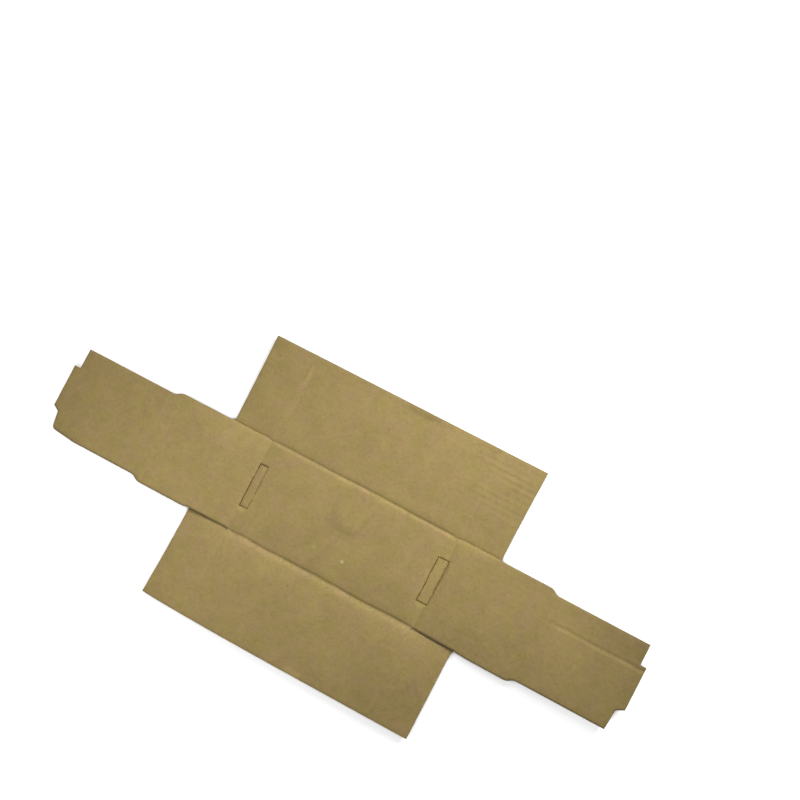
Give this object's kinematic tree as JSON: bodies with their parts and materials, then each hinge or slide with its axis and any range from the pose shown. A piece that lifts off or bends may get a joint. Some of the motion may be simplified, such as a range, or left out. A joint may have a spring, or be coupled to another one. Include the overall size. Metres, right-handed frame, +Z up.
{
  "type": "flattened cardboard box",
  "caption": "Flat die-cut blank of a small corrugated tray box: base with slots, side panels with wings, and rollover end walls with locking tabs.",
  "frame": {"origin": "under the middle of the blank, on the underside of the base that rests on the table", "axes": "+X along the strip of base and end walls, +Y across it over a side panel, +Z up out of the creased face"},
  "size_m": [0.649, 0.2944, 0.0081],
  "materials": {
    "board": "uncoated brown kraft liner, matte"
  },
  "bodies": {
    "root": {"box_blank": "board"}
  },
  "joints": []
}
